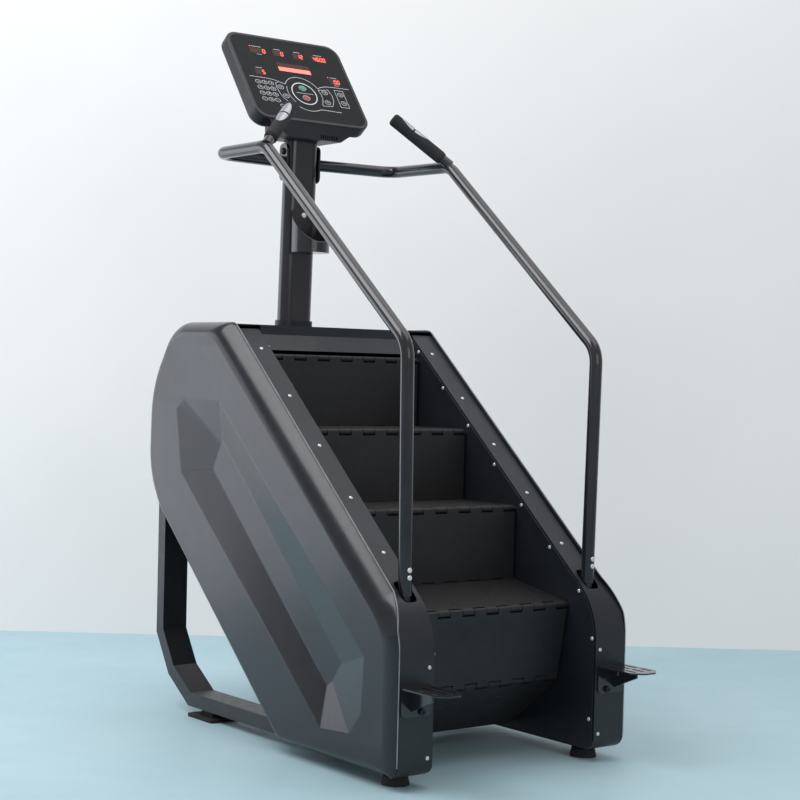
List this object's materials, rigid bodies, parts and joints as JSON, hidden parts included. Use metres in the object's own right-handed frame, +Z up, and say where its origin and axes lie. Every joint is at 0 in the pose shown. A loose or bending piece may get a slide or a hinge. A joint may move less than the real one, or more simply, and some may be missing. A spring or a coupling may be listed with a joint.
{
  "type": "stair climber",
  "caption": "Gym stair climber: a short chain of hinged moving steps between two moulded side covers, with bent hand rails, a post, a tilted console and foot pegs.",
  "frame": {"origin": "centre of the bounding box, on the floor", "axes": "+Z up, +Y from the user towards the rear of the machine, X across, symmetric about X = 0"},
  "size_m": [0.784, 1.4505, 2.0382],
  "materials": {
    "step_plastic": "ribbed moulded black",
    "cover_plastic": "satin moulded charcoal",
    "frame_paint": "fine powder coat",
    "gloss_paint": "smooth semi-gloss powder coat",
    "rubber": "moulded",
    "zinc": "zinc plated",
    "black_bolts": "black oxide",
    "trim_plastic": "fine grained",
    "console_face": "printed overlay",
    "membrane": "printed overlay",
    "window": "smoked lens",
    "green_key": "moulded",
    "red_key": "moulded",
    "circuit_board": "solder mask",
    "pulse_plates": "polished",
    "drive_steel": "oiled",
    "cast_pulley": "machined",
    "belt": "ribbed",
    "alternator": "cast"
  },
  "bodies": {
    "frame": {"alternator": "alternator", "belly_panel": "frame_paint", "black_bolts": "black_bolts", "bottle_holder": "gloss_paint", "console_board": "circuit_board", "console_chin": "trim_plastic", "console_face": "console_face", "console_housing": "trim_plastic", "console_post": "gloss_paint", "control_box": "trim_plastic", "cross_tubes": "frame_paint", "display_windows": "window", "drive_belts": "belt", "foot_pegs": "gloss_paint", "front_feet": "rubber", "grips": "rubber", "left_front_strip": "frame_paint", "left_handrail": "gloss_paint", "left_inner_plate": "frame_paint", "left_rear_leg": "frame_paint", "left_side_cover": "cover_plastic", "left_side_frame": "frame_paint", "membrane_keys": "membrane", "post_sleeve": "trim_plastic", "power_inlet": "trim_plastic", "pulse_plates": "pulse_plates", "rear_feet": "rubber", "rear_panel": "frame_paint", "right_front_strip": "frame_paint", "right_handrail": "gloss_paint", "right_inner_plate": "frame_paint", "right_rear_leg": "frame_paint", "right_side_cover": "cover_plastic", "right_side_frame": "frame_paint", "shaft_bearings": "drive_steel", "step_chains": "drive_steel", "top_deck": "frame_paint", "zinc_screws": "zinc"},
    "step_train": {"tread_2": "step_plastic", "tread_3": "step_plastic", "tread_4": "step_plastic", "riser_2": "step_plastic", "riser_3": "step_plastic", "riser_4": "step_plastic", "step_pins": "zinc"},
    "lower_step": {"tread_1": "step_plastic", "riser_1": "step_plastic", "lower_pins": "zinc"},
    "under_step": {"tread_0": "step_plastic", "riser_0": "step_plastic"},
    "return_train": {"returning_steps": "step_plastic"},
    "upper_drum": {"upper_shaft": "drive_steel", "upper_sprockets": "drive_steel", "drive_pulley": "cast_pulley"},
    "lower_drum": {"lower_shaft": "drive_steel", "lower_sprockets": "drive_steel"},
    "counter": {"counter_shaft": "cast_pulley"},
    "brake_rotor": {"alternator_rotor": "drive_steel"},
    "start_button": {"start_key": "green_key"},
    "stop_button": {"stop_key": "red_key"}
  },
  "joints": [
    {"name": "stair_travel", "type": "slide", "parent": "frame", "child": "step_train", "axis": [0, -0.749, -0.6625], "range_m": [0, 0.06]},
    {"name": "lower_step_turn", "type": "hinge", "parent": "step_train", "child": "lower_step", "pos_m": [0, -0.24045, 0.4503], "axis": [1, 0, 0], "range_deg": [0, 20]},
    {"name": "under_step_turn", "type": "hinge", "parent": "lower_step", "child": "under_step", "pos_m": [0, -0.43121, 0.21053], "axis": [1, 0, 0], "range_deg": [0, 4]},
    {"name": "return_travel", "type": "slide", "parent": "frame", "child": "return_train", "axis": [0, 0.749, 0.6625], "range_m": [0, 0.06]},
    {"name": "upper_drum_turn", "type": "hinge", "parent": "frame", "child": "upper_drum", "pos_m": [0, 0.29377, 0.75195], "axis": [1, 0, 0], "range_deg": [0, 55.07]},
    {"name": "lower_drum_turn", "type": "hinge", "parent": "frame", "child": "lower_drum", "pos_m": [0, -0.3038, 0.22337], "axis": [1, 0, 0], "range_deg": [0, 55.07]},
    {"name": "counter_turn", "type": "hinge", "parent": "frame", "child": "counter", "pos_m": [0.3, 0.06315, 0.52], "axis": [1, 0, 0], "range_deg": [0, 218.77]},
    {"name": "brake_turn", "type": "hinge", "parent": "frame", "child": "brake_rotor", "pos_m": [0.32, -0.12185, 0.33], "axis": [1, 0, 0], "range_deg": [0, 1091.85]},
    {"name": "start_press", "type": "slide", "parent": "frame", "child": "start_button", "axis": [0, 0.8049, -0.5934], "range_m": [0, 0.001], "stiffness_N_per_m": 1500},
    {"name": "stop_press", "type": "slide", "parent": "frame", "child": "stop_button", "axis": [0, 0.8049, -0.5934], "range_m": [0, 0.001], "stiffness_N_per_m": 1500}
  ],
  "couplings": [
    {"joint": "lower_step_turn", "follows": "stair_travel", "rad_per_m": 5.7},
    {"joint": "under_step_turn", "follows": "stair_travel", "rad_per_m": 0.96},
    {"joint": "return_travel", "follows": "stair_travel", "ratio": 1},
    {"joint": "upper_drum_turn", "follows": "stair_travel", "rad_per_m": 15.873},
    {"joint": "lower_drum_turn", "follows": "stair_travel", "rad_per_m": 15.873},
    {"joint": "counter_turn", "follows": "stair_travel", "rad_per_m": 63.492},
    {"joint": "brake_turn", "follows": "stair_travel", "rad_per_m": 317.46}
  ]
}
